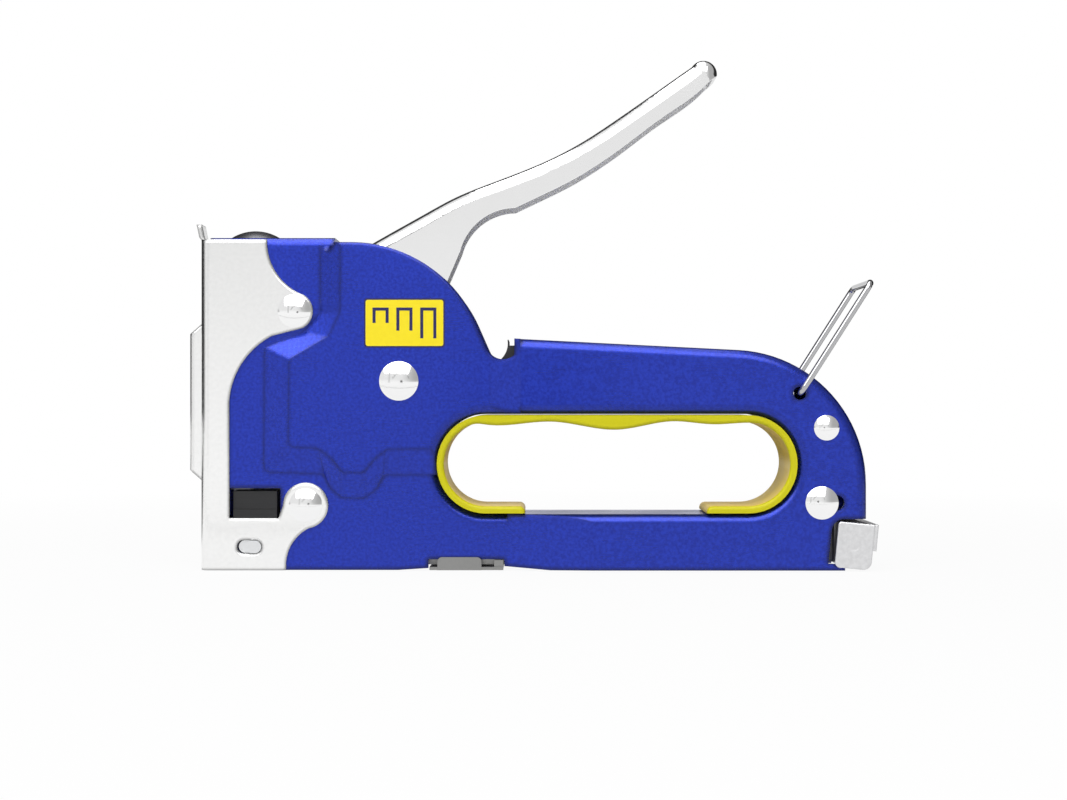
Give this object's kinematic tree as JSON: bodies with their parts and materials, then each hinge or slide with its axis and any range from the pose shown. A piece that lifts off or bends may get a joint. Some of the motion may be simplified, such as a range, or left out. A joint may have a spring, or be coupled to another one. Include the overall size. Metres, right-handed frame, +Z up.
{
  "type": "staple gun",
  "caption": "Hand staple gun of stamped steel shells with a squeeze lever, finger hole with grip liner, chromed nose plate, wire locking bail and slide-out staple magazine.",
  "frame": {"origin": "centre of the staple outlet at the muzzle, on the base plane, in the driver blade's plane", "axes": "+X to the rear of the tool, +Z up from the base towards the lever, -Y is the tool's left side"},
  "size_m": [0.1809, 0.0296, 0.134],
  "materials": {
    "blue_paint": "gloss enamel",
    "chrome": "bright chrome plate",
    "zinc": "bright zinc plate",
    "dark_steel": "hardened and blackened",
    "spring_steel": "drawn wire",
    "steel": "plain steel",
    "yellow_plastic": "semi gloss",
    "black_rubber": "matt"
  },
  "bodies": {
    "frame": {"left_shell": "blue_paint", "right_shell": "blue_paint", "nose_plate": "chrome", "blade_guide": "steel", "pivot_rivet": "chrome", "upper_nose_rivet": "chrome", "lower_nose_rivet": "chrome", "upper_rear_rivet": "chrome", "lower_rear_rivet": "chrome", "upper_nose_spacer": "steel", "lower_nose_spacer": "steel", "upper_rear_spacer": "steel", "lower_rear_spacer": "steel", "bumper": "black_rubber", "lever_stop": "black_rubber", "grip_insert": "yellow_plastic", "tension_nut": "steel", "main_spring": "spring_steel", "magazine_channel": "zinc", "channel_lugs": "zinc", "magazine_clip": "zinc", "staple_strip": "steel"},
    "lever": {"lever": "chrome", "lift_arm": "dark_steel", "arm_pin": "steel", "pivot_bushing": "steel"},
    "striker": {"striker": "dark_steel", "driver_blade": "dark_steel"},
    "spring_cap": {"spring_cap": "steel"},
    "tension_screw": {"tension_screw": "dark_steel"},
    "bail": {"locking_bail": "chrome"},
    "magazine": {"magazine_rail": "zinc", "guide_rod": "steel", "end_block": "zinc", "catch_pin": "steel", "catch_spring": "spring_steel", "pusher_spring": "spring_steel"},
    "pusher": {"pusher_block": "zinc"},
    "catch": {"rear_catch": "chrome"}
  },
  "joints": [
    {"name": "lever_pivot", "type": "hinge", "parent": "frame", "child": "lever", "pos_m": [0.0498, 0, 0.0494], "axis": [0, 1, 0], "range_deg": [0, 40], "stiffness_Nm_per_rad": 1, "springref_deg": -34.38},
    {"name": "striker_slide", "type": "slide", "parent": "frame", "child": "striker", "axis": [0, 0, 1], "range_m": [0, 0.0245], "deforming": ["main_spring"]},
    {"name": "cap_lift", "type": "slide", "parent": "frame", "child": "spring_cap", "axis": [0, 0, 1], "range_m": [0, 0.0025]},
    {"name": "screw_turn", "type": "hinge", "parent": "spring_cap", "child": "tension_screw", "pos_m": [0.0108, 0, 0.08], "axis": [0, 0, 1], "range_deg": [0, 721]},
    {"name": "bail_swing", "type": "hinge", "parent": "frame", "child": "bail", "pos_m": [0.15421, 0, 0.04624], "axis": [0, 1, 0], "range_deg": [-98, 85]},
    {"name": "magazine_slide", "type": "slide", "parent": "frame", "child": "magazine", "axis": [1, 0, 0], "range_m": [0, 0.125]},
    {"name": "pusher_slide", "type": "slide", "parent": "magazine", "child": "pusher", "axis": [1, 0, 0], "range_m": [0, 0.05], "stiffness_N_per_m": 20, "springref_m": -0.05, "deforming": ["pusher_spring"]},
    {"name": "catch_swing", "type": "hinge", "parent": "magazine", "child": "catch", "pos_m": [0.168, 0, 0.0068], "axis": [0, 1, 0], "range_deg": [0, 9], "stiffness_Nm_per_rad": 0.05, "springref_deg": -17.19}
  ],
  "couplings": [
    {"joint": "striker_slide", "follows": "lever_pivot", "m_per_rad": 0.035},
    {"joint": "screw_turn", "follows": "cap_lift", "rad_per_m": 5026.5}
  ]
}
